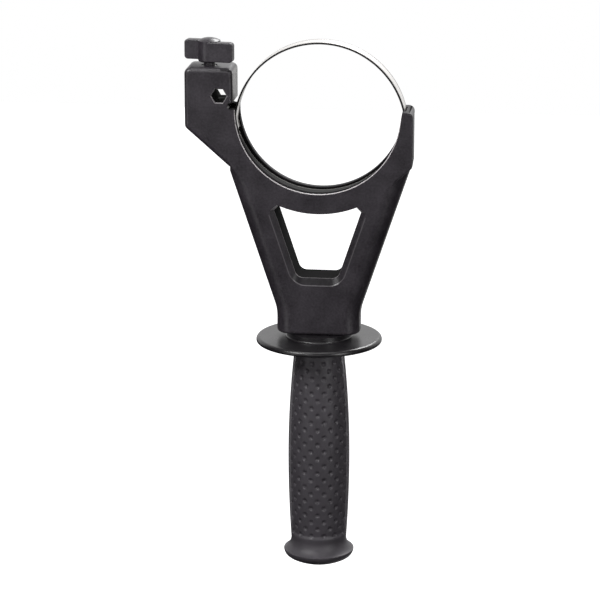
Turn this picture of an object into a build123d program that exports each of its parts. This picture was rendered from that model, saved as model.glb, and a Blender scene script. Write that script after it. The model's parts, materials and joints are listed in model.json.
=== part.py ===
from build123d import *
import os
from math import acos, atan2, cos, degrees, hypot, radians, sin, sqrt, tan

# Side handle with a band clamp for a power tool's collar.
# Millimetres. The origin is the centre of the clamp ring, halfway through its depth.
# +X is to the right seen from the front, +Y is away from the viewer and +Z is up.
# The grip hangs down along -Z.

# Clamp ring
collar_radius = 47.5
ring_wall = 11.8
yoke_depth = 24.0
bore_edge_chamfer = 0.45

# Right horn of the ring
horn_wall = 7.2
horn_top = 1.2
horn_foot = -30.8
horn_corner = 3.0
horn_edge = 0.8
horn_draft = 0.95
lead_in_angle = 10.0

# Clamp block at the left horn
block_gap = 1.3
block_width = 27.9
block_top = 24.3
block_shoulder = -10.3
block_slope = 0.88
block_corner = 3.4
block_edge = 2.4
notch_foot = 0.7
notch_height = 4.0
notch_reach = 3.2

# Arms and neck
arm_overhang = 3.5
arm_mid_z = -38.8
arm_step = 0.7
arm_lap = 1.0
arm_round = 9.5
neck_half = 24.3
neck_drop = 72.3
neck_length = 13.2
neck_blend = 25.0
neck_edge = 1.6

# Window between the arms
window_mid_half = 25.2
window_rise = 1.4
window_slope = 0.3353
window_drop = 38.4
window_corner = 5.0
window_corner_cut = 2.3
window_bevel_side = 2.7
window_bevel_foot = 4.3
window_bevel_top = 0.8
window_bevel_depth = 2.2
window_edge = 0.4

# Depth stop hole, a hexagon through the block with corners left and right
rod_flats = 7.7
rod_inset = 7.8
rod_z = 8.5
rod_chamfer = 0.6

# Steel band
band_thickness = 1.0
band_width = 12.3
band_tongue_width = 7.4
band_seat = 1.7
band_bow = 0.2
band_drop = 10.4
band_shift = 0.8
band_blend_radius = 15.0
band_hook_angle = 195.0
band_hook_length = 3.6
band_hook_width = 18.4
band_side_clearance = 0.6
band_back_clearance = 0.55
lap_rise = 1.4
hook_clearance = 0.5

# Clamp screw, its nut, washer and the pin that the band pulls on
screw_inset = 13.0
screw_radius = 2.5
screw_foot = -14.0
screw_head_flats = 8.0
screw_head_height = 3.5
screw_head_z = 32.0
thread_clearance = 0.05
screw_clearance = 0.15
nut_width = 8.0
nut_height = 4.0
nut_top = 0.0
nut_clearance = 0.1
washer_radius = 4.6
washer_thickness = 1.0
washer_drop = 0.5
pin_radius = 1.5
pin_gap = 5.4
pin_z = -0.3
loop_clearance = 0.1

# Pull slider
slider_inset_left = 7.1
slider_inset_right = 2.6
slider_foot = -7.0
slider_depth = 12.8
slider_foot_plate = 1.8
slider_round = 0.8
slide_clearance = 0.35
rod_gap = 0.3
ear_wall = 1.8

# Wing knob
knob_hub_radius = 6.5
knob_top = 40.2
knob_foot = 26.2
knob_foot_round = 1.5
knob_neck_radius = 3.2
knob_gap = 0.05
knob_dome = 1.7
wing_tip = 15.3
wing_thickness = 5.4
wing_foot = 26.9
wing_top = 38.3
wing_corner = 2.0
wing_edge = 0.6
knob_turn = -7.0

# Grip: plastic core with collar and hand guard, rubber sleeve, stud and insert.
# Drops are measured down from the guard's lower face and rises up from the sleeve's foot.
collar_disc_radius = 18.9
collar_height = 3.3
collar_foot_round = 1.0
guard_thickness = 3.2
guard_radius = 36.8
guard_rim_top = 2.0
guard_rim_foot = 0.9
core_radius = 11.6
core_foot_wall = 13.6
sleeve_length = 137.5
sleeve_neck_radius = 13.9
sleeve_belly_radius = 18.1
sleeve_belly_drop = 70.8
sleeve_waist_radius = 16.4
sleeve_waist_rise = 16.6
sleeve_flare_radius = 20.8
dome_height = 9.1
dome_edge = 5.0
stud_radius = 5.0
stud_reach = 24.6
stud_length = 69.0
stud_head_flats = 17.0
stud_head_height = 7.0
insert_radius = 8.0
insert_length = 22.0

# How far a cut runs on past the face that it opens
overrun = 1.0

# Worked out from the sizes above
half_depth = yoke_depth / 2
horn_outer = collar_radius + horn_wall
ring_outer = collar_radius + ring_wall
block_right = -(collar_radius + block_gap)
block_left = block_right - block_width
arm_mid_half = collar_radius + arm_overhang
neck_foot = -(ring_outer + neck_drop)
neck_head = neck_foot + neck_length
arm_slope = (arm_mid_half - neck_half) / (arm_mid_z - neck_head)
window_mid_z = -(ring_outer - window_rise)
window_foot = -(ring_outer + window_drop)
band_groove_radius = collar_radius + band_seat
band_top_radius = band_groove_radius + band_bow
outer_lap_radius = band_groove_radius + lap_rise
screw_x = block_left + screw_inset
pin_x = -(outer_lap_radius + pin_gap)
rod_x = block_right - rod_inset
slider_left = block_left + slider_inset_left
slider_right = block_right - slider_inset_right
groove_width = band_width + 2 * band_side_clearance
groove_wall = band_thickness / 2 + band_back_clearance
cavity_left = slider_left - slide_clearance
cavity_right = slider_right + slide_clearance
cavity_depth = slider_depth + 2 * slide_clearance
rod_foot = rod_z - rod_flats / 2
slider_top = rod_foot - rod_gap
cavity_top = rod_foot + rod_gap
guard_top = neck_foot - collar_height
guard_foot = guard_top - guard_thickness
sleeve_foot = guard_foot - sleeve_length
core_foot = sleeve_foot + core_foot_wall
stud_top = neck_foot + stud_reach
stud_foot = stud_top - stud_length
screw_bore = screw_radius + screw_clearance
washer_top = block_top - washer_drop
loop_radius = pin_radius + loop_clearance + band_thickness / 2


def front_prism(face, depth):
    """A face drawn in the front view, made solid to the same depth before and behind it."""
    return extrude(face, amount=depth / 2, both=True)


def front_polygon(*points):
    return Plane.XZ * Polygon(*points, align=None)


def front_disc(x, z, radius):
    return Plane.XZ * Pos(x, z) * Circle(radius)


def along_depth(solid, low_x, high_x, low_z, high_z):
    """Edges between those limits in the front view that run straight through the depth."""
    inside = []
    for edge in solid.edges().filter_by(Axis.Y):
        middle = edge.center()
        if low_x <= middle.X <= high_x and low_z <= middle.Z <= high_z:
            inside.append(edge)
    return inside


def face_rim(solid, keep):
    """Edges on the front and back faces whose middle point passes the test."""
    rim = []
    for edge in solid.edges():
        box = edge.bounding_box()
        on_face = box.size.Y < 0.01 and abs(abs(edge.center().Y) - half_depth) < 0.01
        if on_face and keep(edge @ 0.5):
            rim.append(edge)
    return rim


def arm_half(z):
    return arm_mid_half - arm_slope * (arm_mid_z - z)


def window_half(z):
    return window_mid_half - window_slope * (window_mid_z - z)


def arms_body():
    """Two arms that run from the ring into the neck."""
    left_step = arm_mid_half + arm_step
    step_z = arm_mid_z + arm_step / arm_slope
    top = horn_foot + arm_lap
    outline = front_polygon(
        (-neck_half, neck_foot),
        (neck_half, neck_foot),
        (neck_half, neck_head),
        (arm_half(top), top),
        (-left_step, top),
        (-left_step, step_z),
        (-neck_half, neck_head),
    )
    body = front_prism(outline, yoke_depth)
    bends = along_depth(body, -neck_half - 1, neck_half + 1, neck_head - 1, neck_head + 1)
    body = fillet(bends, neck_blend)
    sides = face_rim(body, lambda p: p.Z > neck_foot + 1 and p.Z < top - 1)
    body = fillet(sides, arm_round)
    foot = body.edges().filter_by(lambda edge: edge.center().Z < neck_foot + 0.01)
    return fillet(foot, neck_edge)


def ring_body():
    """The half ring with the right horn, before the collar bore is cut."""
    right = collar_radius + horn_wall / 2
    below = front_polygon(
        (-horn_outer, -ring_outer),
        (right, -ring_outer),
        (right, horn_top),
        (-horn_outer, horn_top),
    )
    left_cut = front_polygon(
        (-horn_outer, notch_foot), (0, notch_foot), (0, horn_top), (-horn_outer, horn_top)
    )
    outline = (front_disc(0, 0, ring_outer) & below) - left_cut
    return front_prism(outline, yoke_depth) + right_horn()


def horn_outline(outer):
    """The right horn in the front view, out to this distance from the ring's centre."""
    inner = collar_radius - horn_wall
    return Polygon(
        (inner, horn_foot - block_slope * (outer - inner)),
        (outer, horn_foot),
        (outer, horn_top),
        (inner, horn_top),
        align=None,
    )


def right_horn():
    """The horn beside the seat's right end, its outer wall leaning in towards the back."""
    front = Plane.XZ.offset(half_depth) * horn_outline(horn_outer)
    back = Plane.XZ.offset(-half_depth) * horn_outline(horn_outer - horn_draft)
    horn = loft([front, back])
    outer = horn.edges().filter_by(lambda edge: edge.center().X > horn_outer - horn_draft)
    corners = outer.filter_by(lambda edge: edge.bounding_box().size.Y > half_depth)
    horn = fillet(corners, horn_corner)
    return fillet(face_rim(horn, lambda p: p.X > collar_radius - horn_wall + 0.1), horn_edge)


def block_body():
    """The clamp block and the slope below it that runs into the ring."""
    inner = collar_radius - horn_wall
    step_x = -arm_mid_half - arm_step
    foot_z = block_shoulder - block_slope * (step_x - block_left)
    outline = front_polygon(
        (block_left, block_shoulder),
        (step_x, foot_z),
        (-inner, foot_z - ring_wall / 2),
        (-inner, notch_foot),
        (block_right, notch_foot),
        (block_right, block_top),
        (block_left, block_top),
    )
    body = front_prism(outline, yoke_depth)
    corners = along_depth(body, block_left - 1, block_right + 1, block_shoulder - 1, block_top + 1)
    outer = []
    for edge in corners:
        if edge.center().Z > notch_foot + 1 or edge.center().X < block_left + 1:
            outer.append(edge)
    body = fillet(outer, block_corner)
    rim = face_rim(body, lambda p: p.Z > notch_foot + 1 or (p.Z > foot_z and p.X < step_x))
    return fillet(rim, block_edge)


def collar_bore():
    """The bore for the tool's collar, with a small chamfer at both faces."""
    bore = front_prism(front_disc(0, 0, collar_radius), 2 * yoke_depth)
    half = half_depth
    chamfer_profile = Polygon(
        (0, half - bore_edge_chamfer),
        (collar_radius, half - bore_edge_chamfer),
        (collar_radius + 2 * bore_edge_chamfer, half + bore_edge_chamfer),
        (0, half + bore_edge_chamfer),
        align=None,
    )
    cone = revolve(chamfer_profile, Axis.Y)
    return bore + cone + mirror(cone, about=Plane.XZ) + lead_in()


def lead_in():
    """The seat's last stretch below the right horn's top, which runs on straight, off its circle."""
    start = radians(lead_in_angle)
    low_x = collar_radius * cos(start)
    low_z = -collar_radius * sin(start)
    high_z = horn_top + overrun
    wedge = front_polygon(
        (low_x - overrun, low_z),
        (low_x, low_z),
        (low_x + (high_z - low_z) * tan(start), high_z),
        (low_x - overrun, high_z),
    )
    return front_prism(wedge, 2 * yoke_depth)


def window_outline(side, foot, top_cut):
    """The window's outline, wider by the offsets, before the ring's arc closes its top."""
    low = window_foot - foot
    low_half = window_half(low) + side
    wide = window_half(window_mid_z) + side
    cut = window_half(window_mid_z) - window_corner_cut + top_cut
    shoulder = window_mid_z + window_corner_cut + top_cut
    top = shoulder + 2 * ring_wall
    outline = Polygon(
        (-low_half, low),
        (low_half, low),
        (wide, window_mid_z),
        (cut, shoulder),
        (cut, top),
        (-cut, top),
        (-cut, shoulder),
        (-wide, window_mid_z),
        align=None,
    )
    low_corners = outline.vertices().filter_by(lambda v: v.Y < low + 1)
    return fillet(low_corners, window_corner + foot / 2)


def window_cutter():
    """The window with a sloping band round its sides and foot, on both faces."""
    through = front_prism(Plane.XZ * window_outline(0, 0, 0), 2 * yoke_depth)
    face_plane = Plane.XZ.offset(half_depth)
    inner_plane = Plane.XZ.offset(half_depth - window_bevel_depth)
    bevel = loft([
        face_plane * window_outline(window_bevel_side, window_bevel_foot, window_bevel_top),
        inner_plane * window_outline(0, 0, 0),
    ])
    cutter = through + bevel + mirror(bevel, about=Plane.XZ)
    return cutter - front_prism(front_disc(0, 0, ring_outer), 2 * yoke_depth)


def window_rim(yoke):
    """Edges between the window's straight walls and its sloping bands, front and back."""
    rim = []
    for edge in yoke.edges():
        box = edge.bounding_box()
        from_face = half_depth - abs(edge.center().Y)
        at_depth = box.size.Y < 0.01 and abs(from_face - window_bevel_depth) < 0.01
        in_window = box.min.Z > window_foot - 1 and box.max.Z < -collar_radius
        if at_depth and in_window and abs(edge.center().X) < neck_half:
            rim.append(edge)
    return rim


def tail_line():
    """Start and end of the straight part of the band's tail, and its angle at the ring."""
    drop = lap_rise - pin_z
    leave = atan2(drop, -pin_x) + acos((outer_lap_radius + loop_radius) / hypot(pin_x, drop))
    start = (-outer_lap_radius * cos(leave), lap_rise - outer_lap_radius * sin(leave))
    end = (pin_x + loop_radius * cos(leave), pin_z + loop_radius * sin(leave))
    return start, end, degrees(leave)


def slider_cavity():
    """The channel for the slider, open below, with the slot through which the tail comes in."""
    low = block_shoulder - 2 * ring_wall
    channel = front_polygon(
        (cavity_left, low),
        (cavity_right, low),
        (cavity_right, cavity_top),
        (cavity_left, cavity_top),
    )
    start, end, leave = tail_line()
    lean = radians(leave)
    room = band_thickness / 2 + 2 * hook_clearance
    side_x = -room * cos(lean)
    side_z = -room * sin(lean)
    tail_slot = front_polygon(
        (start[0] + side_x, start[1] + side_z),
        (start[0] + 2 * room, start[1]),
        (-collar_radius + 2 * room, notch_foot + overrun),
        (end[0] + side_x, notch_foot + overrun),
        (end[0] + side_x, end[1] + side_z),
    )
    return front_prism(channel, cavity_depth) + front_prism(tail_slot, groove_width)


def hook_end():
    """Where the inner lap of the band ends, and where its hook begins."""
    foot = radians(band_hook_angle)
    head = foot - band_hook_length / band_groove_radius
    return foot, head


def hook_pocket():
    """Pockets beside the groove that hold the two lugs of the band's fixed end."""
    foot, head = hook_end()
    inner = -(band_groove_radius - band_thickness / 2) * cos(foot) - loop_clearance
    room = hook_clearance
    pocket = front_polygon(
        (-inner, band_groove_radius * sin(foot) - 2 * room),
        (-inner, band_groove_radius * sin(head) + room),
        (cavity_right - room, band_groove_radius * sin(head) + room),
        (cavity_right - room, band_groove_radius * sin(foot) - 2 * room),
    )
    return front_prism(pocket, band_hook_width + 2 * hook_clearance)


def entry_notch():
    """The rounded notch between the block's inner wall and the top of the left horn."""
    radius = notch_height / 2
    middle = notch_foot + radius
    end = block_right - notch_reach + radius
    notch = front_polygon(
        (end, notch_foot),
        (-collar_radius + horn_wall, notch_foot),
        (-collar_radius + horn_wall, notch_foot + notch_height),
        (end, notch_foot + notch_height),
    )
    return front_prism(notch + front_disc(end, middle, radius), 2 * yoke_depth)


def hexagon(flats):
    return RegularPolygon(flats / 2, 6, major_radius=False)


def rod_hole():
    """The hexagonal hole for the depth stop, chamfered at both faces."""
    place = Pos(rod_x, rod_z)
    hole = front_prism(Plane.XZ * place * hexagon(rod_flats), 2 * yoke_depth)
    mouth = loft([
        Plane.XZ.offset(half_depth) * place * hexagon(rod_flats + 2 * rod_chamfer),
        Plane.XZ.offset(half_depth - rod_chamfer) * place * hexagon(rod_flats),
    ])
    return hole + mouth + mirror(mouth, about=Plane.XZ)


def upright_rod(x, radius, foot, top):
    return Pos(x, 0, foot) * extrude(Circle(radius), amount=top - foot)


def band_groove():
    """The groove for the band, deeper on the left where two laps of it lie."""
    right = front_disc(0, 0, band_groove_radius + groove_wall)
    left = front_disc(0, lap_rise, outer_lap_radius + groove_wall)
    right &= front_polygon(
        (0, -ring_outer),
        (ring_outer, -ring_outer),
        (ring_outer, horn_top + overrun),
        (0, horn_top + overrun),
    )
    left &= front_polygon(
        (0, -ring_outer),
        (-ring_outer, -ring_outer),
        (-ring_outer, notch_foot),
        (0, notch_foot),
    )
    return front_prism(right + left, groove_width)


def yoke_frame():
    yoke = arms_body() + ring_body() + block_body()
    yoke -= collar_bore()
    yoke -= band_groove()
    yoke -= window_cutter()
    yoke -= slider_cavity()
    yoke -= hook_pocket()
    yoke -= entry_notch()
    yoke -= rod_hole()
    yoke -= upright_rod(screw_x, screw_bore, cavity_top - overrun, block_top + overrun)
    washer_room = washer_radius + thread_clearance
    yoke -= upright_rod(screw_x, washer_room, washer_top - washer_thickness, block_top + overrun)
    yoke -= upright_rod(0, insert_radius, neck_foot - overrun, neck_foot + insert_length)
    yoke -= upright_rod(0, stud_radius + screw_clearance, neck_foot, stud_top + overrun)
    return fillet(window_rim(yoke), window_edge)


def band_arc(centre_x, centre_z, radius, start, end):
    """A bent stretch of band in the front view, between two angles in degrees."""
    inner = radius - band_thickness / 2
    outer = radius + band_thickness / 2
    low = CenterArc((centre_x, centre_z), inner, start, end - start)
    high = CenterArc((centre_x, centre_z), outer, start, end - start)
    return Plane.XZ * make_face([low, high, Line(low @ 0, high @ 0), Line(low @ 1, high @ 1)])


def band_strip(start, end):
    """A straight stretch of band in the front view."""
    length = hypot(end[0] - start[0], end[1] - start[1])
    across_x = -(end[1] - start[1]) / length * band_thickness / 2
    across_z = (end[0] - start[0]) / length * band_thickness / 2
    return front_polygon(
        (start[0] + across_x, start[1] + across_z),
        (end[0] + across_x, end[1] + across_z),
        (end[0] - across_x, end[1] - across_z),
        (start[0] - across_x, start[1] - across_z),
    )


def band_blend(side):
    """Centre of the bend between the band's top arc and its groove, on the side +1 or -1."""
    to_groove = band_groove_radius - band_blend_radius
    to_top = band_top_radius - band_blend_radius
    apart = hypot(band_shift, band_drop)
    along = (to_groove ** 2 - to_top ** 2 + apart ** 2) / (2 * apart)
    across = side * sqrt(to_groove ** 2 - along ** 2)
    return (
        (along * band_shift + across * band_drop) / apart,
        (across * band_shift - along * band_drop) / apart,
    )


def clamp_band():
    """The steel band: over the top, round the groove and up to the loop on its pin."""
    right_x, right_z = band_blend(1)
    left_x, left_z = band_blend(-1)
    enter_right = degrees(atan2(right_z, right_x))
    leave_right = degrees(atan2(right_z + band_drop, right_x - band_shift))
    enter_left = degrees(atan2(left_z, left_x)) % 360
    leave_left = degrees(atan2(left_z + band_drop, left_x - band_shift)) % 360
    foot, head = hook_end()
    start, end, leave = tail_line()

    top = band_arc(band_shift, -band_drop, band_top_radius, leave_right, leave_left)
    right_blend = band_arc(right_x, right_z, band_blend_radius, enter_right, leave_right)
    left_blend = band_arc(left_x, left_z, band_blend_radius, leave_left, enter_left)
    inner_lap = band_arc(0, 0, band_groove_radius, enter_left, degrees(foot))
    hook = band_arc(0, 0, band_groove_radius, degrees(head), degrees(foot))
    right_side = band_arc(0, 0, band_groove_radius, -90, enter_right)
    lap = band_arc(0, lap_rise, outer_lap_radius, 180 + leave, 270)
    loop = band_arc(pin_x, pin_z, loop_radius, leave, 270)
    tail = band_strip(start, end)

    band = front_prism(top + right_blend + left_blend + inner_lap, band_width)
    band += front_prism(right_side + lap, band_width)
    band += front_prism(hook, band_hook_width)
    band += front_prism(tail + loop, band_tongue_width)
    return band


def pull_slider():
    """The block that the nut draws up, with a plate under the depth stop and two ears."""
    ear_radius = pin_radius + ear_wall
    loop_room = pin_radius + loop_clearance + band_thickness + loop_clearance
    block_end = pin_x - loop_room - loop_clearance
    plate = front_polygon(
        (slider_left, slider_top - slider_foot_plate),
        (slider_right, slider_top - slider_foot_plate),
        (slider_right, slider_top),
        (slider_left, slider_top),
    )
    block = front_polygon(
        (slider_left, slider_foot),
        (block_end, slider_foot),
        (block_end, slider_top),
        (slider_left, slider_top),
    )
    ear_web = front_polygon(
        (block_end, pin_z - ear_radius),
        (pin_x, pin_z - ear_radius),
        (pin_x + ear_radius, pin_z),
        (pin_x + ear_radius, slider_top - slider_foot_plate),
        (block_end, slider_top - slider_foot_plate),
    )
    body = front_prism(plate + block + ear_web + front_disc(pin_x, pin_z, ear_radius), slider_depth)
    loop_slot = front_polygon(
        (block_end, slider_foot),
        (slider_right + overrun, slider_foot),
        (slider_right + overrun, slider_top - slider_foot_plate),
        (block_end, slider_top - slider_foot_plate),
    )
    body -= front_prism(loop_slot, band_tongue_width + 2 * loop_clearance)
    body -= front_prism(front_disc(pin_x, pin_z, pin_radius), 2 * slider_depth)
    screw_way = screw_radius + 2 * screw_clearance
    body -= upright_rod(screw_x, screw_way, slider_foot - overrun, slider_top + overrun)
    nut_room = nut_width / 2 + nut_clearance
    pocket_depth = slider_depth / 2 + nut_room
    pocket_middle = (nut_room - slider_depth / 2) / 2
    pocket = Box(2 * nut_room, pocket_depth, nut_height + 2 * nut_clearance)
    body -= Pos(screw_x, pocket_middle, nut_top - nut_height / 2) * pocket
    return body


def slider_nut():
    foot = nut_top - nut_height
    nut = Pos(screw_x, 0, foot + nut_height / 2) * Box(nut_width, nut_width, nut_height)
    nut = chamfer(nut.edges().filter_by(Axis.Z), slider_round)
    thread = screw_radius + thread_clearance
    return nut - upright_rod(screw_x, thread, foot - overrun, nut_top + overrun)


def band_pin():
    pin = front_prism(front_disc(pin_x, pin_z, pin_radius), slider_depth)
    return chamfer(pin.edges().filter_by(GeomType.CIRCLE), loop_clearance * 3)


def clamp_screw():
    """The screw, with a hexagon head that is moulded into the knob."""
    rod = upright_rod(screw_x, screw_radius, screw_foot, screw_head_z)
    rod = chamfer(rod.edges().sort_by(Axis.Z)[0], slider_round)
    head = Pos(screw_x, 0, screw_head_z) * extrude(hexagon(screw_head_flats), amount=screw_head_height)
    return rod + head


def thrust_washer():
    foot = washer_top - washer_thickness
    ring = upright_rod(screw_x, washer_radius, foot, washer_top)
    return ring - upright_rod(screw_x, screw_bore, foot - overrun, washer_top + overrun)


def wing(side):
    """One wing, its outer face level with the hub's side."""
    height = wing_top - wing_foot
    middle = (wing_top + wing_foot) / 2
    offset = -side * (knob_hub_radius - wing_thickness / 2)
    blade = Pos(side * wing_tip / 2, offset, middle) * Box(wing_tip, wing_thickness, height)
    tip = side * wing_tip
    corners = [edge for edge in blade.edges().filter_by(Axis.Y) if abs(edge.center().X - tip) < 0.1]
    blade = fillet(corners, wing_corner)
    rim = []
    for edge in blade.edges():
        if abs(edge.center().X) > 0.5 and edge.bounding_box().size.Y < 0.01:
            rim.append(edge)
    return fillet(rim, wing_edge)


def wing_knob():
    """The knob that is turned by two wings, moulded round the screw's head."""
    neck_foot_z = washer_top + knob_gap
    side = Polyline(
        (0, knob_top),
        (0, neck_foot_z),
        (knob_neck_radius, neck_foot_z),
        (knob_neck_radius, knob_foot),
        (knob_hub_radius, knob_foot),
        (knob_hub_radius, knob_top - knob_dome),
    )
    crown = TangentArc((0, knob_top), (knob_hub_radius, knob_top - knob_dome), tangent=(1, 0))
    profile = make_face([side, crown])
    foot = profile.vertices().filter_by(lambda v: v.X > knob_hub_radius - 1 and v.Y < knob_foot + 1)
    hub = revolve(Plane.XZ * fillet(foot, knob_foot_round), Axis.Z)
    knob = Rot(0, 0, knob_turn) * (hub + wing(1) + wing(-1))
    knob = Pos(screw_x, 0, 0) * knob
    return knob - clamp_screw()


def guard_core():
    """The grip's plastic core with its collar and the hand guard."""
    outline = Polygon(
        (0, neck_foot),
        (collar_disc_radius, neck_foot),
        (collar_disc_radius, guard_top),
        (guard_radius, guard_top),
        (guard_radius, guard_foot),
        (core_radius, guard_foot),
        (core_radius, core_foot),
        (0, core_foot),
        align=None,
    )
    rim = outline.vertices().filter_by(lambda v: v.X > guard_radius - 1)
    outline = fillet(rim.sort_by(Axis.Y)[0], guard_rim_foot)
    rim_top = outline.vertices().filter_by(lambda v: v.X > guard_radius - 0.1).sort_by(Axis.Y)[-1]
    outline = fillet(rim_top, guard_rim_top)
    root = outline.vertices().filter_by(lambda v: abs(v.X - collar_disc_radius) < 0.1).sort_by(Axis.Y)[0]
    core = revolve(Plane.XZ * fillet(root, collar_foot_round), Axis.Z)
    return core - grip_stud()


def grip_stud():
    """The stud that is moulded into the core and screwed up into the neck."""
    rod = upright_rod(0, stud_radius, stud_foot, stud_top)
    rod = chamfer(rod.edges().sort_by(Axis.Z)[-1], slider_round)
    head = extrude(hexagon(stud_head_flats), amount=stud_head_height)
    return rod + Pos(0, 0, stud_foot - stud_head_height) * head


def neck_insert():
    head = neck_foot + insert_length
    bush = upright_rod(0, insert_radius, neck_foot, head)
    return bush - upright_rod(0, stud_radius, neck_foot - overrun, head + overrun)


def grip_sleeve():
    """The rubber sleeve: full at the belly, waisted below it, flared and domed at the foot."""
    belly = (sleeve_belly_radius, guard_foot - sleeve_belly_drop)
    waist = (sleeve_waist_radius, sleeve_foot + sleeve_waist_rise)
    flare_edge = (sleeve_flare_radius, sleeve_foot + dome_height)
    reach = sleeve_flare_radius - dome_edge
    rise = dome_height - dome_edge
    dome_drop = (reach ** 2 - rise ** 2) / (2 * rise)
    lean = atan2(reach, dome_drop)
    dome_start = (reach + dome_edge * sin(lean), flare_edge[1] - dome_edge * cos(lean))

    upper = TangentArc(belly, (sleeve_neck_radius, guard_foot), tangent=(0, 1))
    lower = TangentArc(belly, waist, tangent=(0, -1))
    flare = TangentArc(waist, flare_edge, tangent=lower % 1)
    edge = TangentArc(flare_edge, dome_start, tangent=(0, -1))
    dome = TangentArc(dome_start, (0, sleeve_foot), tangent=edge % 1)
    inside = Polyline(
        (0, sleeve_foot),
        (0, core_foot),
        (core_radius, core_foot),
        (core_radius, guard_foot),
        (sleeve_neck_radius, guard_foot),
    )
    return revolve(Plane.XZ * make_face([upper, lower, flare, edge, dome, inside]), Axis.Z)


nodes = {
    "yoke_frame": yoke_frame(),
    "clamp_band": clamp_band(),
    "pull_slider": pull_slider(),
    "slider_nut": slider_nut(),
    "band_pin": band_pin(),
    "clamp_screw": clamp_screw(),
    "thrust_washer": thrust_washer(),
    "wing_knob": wing_knob(),
    "guard_core": guard_core(),
    "grip_sleeve": grip_sleeve(),
    "grip_stud": grip_stud(),
    "neck_insert": neck_insert(),
}

os.makedirs("parts", exist_ok=True)
for name, solid in nodes.items():
    export_step(solid, "parts/" + name + ".step")
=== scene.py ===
# %% [markdown]
# A side handle for a hammer drill: a forked plastic yoke that clamps the tool's collar with a
# steel band, a wing knob that draws the band tight, a round hand guard and a dimpled rubber grip.
# The rigid parts come from the packed model. This script gives every surface its finish, and it
# builds the two pieces whose look needs more than the rigid model holds: the grip's rubber sleeve
# and the bent steel band.

# %% Load the packed model
import bpy
import json
from math import acos, atan2, ceil, cos, degrees, hypot, pi, radians, sin, sqrt
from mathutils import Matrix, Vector


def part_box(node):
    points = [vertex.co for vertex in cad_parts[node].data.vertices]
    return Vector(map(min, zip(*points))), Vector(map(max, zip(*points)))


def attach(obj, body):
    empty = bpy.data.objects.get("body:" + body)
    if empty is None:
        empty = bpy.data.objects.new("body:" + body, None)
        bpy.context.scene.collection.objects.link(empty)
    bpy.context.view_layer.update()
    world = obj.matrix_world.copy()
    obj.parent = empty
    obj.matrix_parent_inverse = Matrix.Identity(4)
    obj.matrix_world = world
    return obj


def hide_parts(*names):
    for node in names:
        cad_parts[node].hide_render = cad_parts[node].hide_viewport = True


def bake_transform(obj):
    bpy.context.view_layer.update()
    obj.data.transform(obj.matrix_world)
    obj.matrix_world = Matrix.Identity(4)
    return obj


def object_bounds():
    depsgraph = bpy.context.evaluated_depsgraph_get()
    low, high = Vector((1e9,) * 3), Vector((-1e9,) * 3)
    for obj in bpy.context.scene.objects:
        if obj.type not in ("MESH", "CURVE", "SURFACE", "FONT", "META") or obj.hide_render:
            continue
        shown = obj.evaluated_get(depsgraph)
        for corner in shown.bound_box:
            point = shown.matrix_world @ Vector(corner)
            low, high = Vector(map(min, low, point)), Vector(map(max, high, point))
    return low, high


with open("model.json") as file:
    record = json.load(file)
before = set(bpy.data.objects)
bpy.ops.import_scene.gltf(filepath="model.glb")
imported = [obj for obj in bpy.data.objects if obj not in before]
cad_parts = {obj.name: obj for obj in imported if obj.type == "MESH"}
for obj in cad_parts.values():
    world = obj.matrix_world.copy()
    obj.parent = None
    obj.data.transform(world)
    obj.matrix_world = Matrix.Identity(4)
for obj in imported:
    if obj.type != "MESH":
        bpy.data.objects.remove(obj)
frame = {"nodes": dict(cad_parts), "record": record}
cad_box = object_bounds()
mm = 0.001

# %% [markdown]
# The photograph was taken with a long lens from a little above and a little to the right. A long
# lens keeps the ring round and the arms straight, so the handle looks as it does in a catalogue.
# The camera could be aimed with a constraint, but a place and two angles say it in few numbers.

# %% Camera
camera_turn = radians(6.93)
camera_dip = radians(15.31)
camera_place = Vector((180.6 * mm, -1579.1 * mm, 321.5 * mm))
camera_lens = 169.3

camera_data = bpy.data.cameras.new("camera")
camera_data.lens = camera_lens
camera_data.sensor_width = 36.0
camera = bpy.data.objects.new("camera", camera_data)
bpy.context.scene.collection.objects.link(camera)
look = Vector((-sin(camera_turn) * cos(camera_dip), cos(camera_turn) * cos(camera_dip), -sin(camera_dip)))
camera.location = camera_place
camera.rotation_euler = look.to_track_quat("-Z", "Y").to_euler()
bpy.context.scene.camera = camera
print("camera distance from the ring, m:", round(camera_place.length, 3))

# %% [markdown]
# Finishes and light are both made of shader nodes. Wired by hand, one Math node after another,
# a formula soon can't be read, so two small classes write the nodes. A Wire stands for one output
# of a node and can be added, multiplied and so on like a number, each time adding a Math node.
# Two of its methods make soft steps: rising goes smoothly from 0 to 1 between two values, and
# falling goes back from 1 to 0. Most marks on the surfaces are products of such steps.

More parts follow.
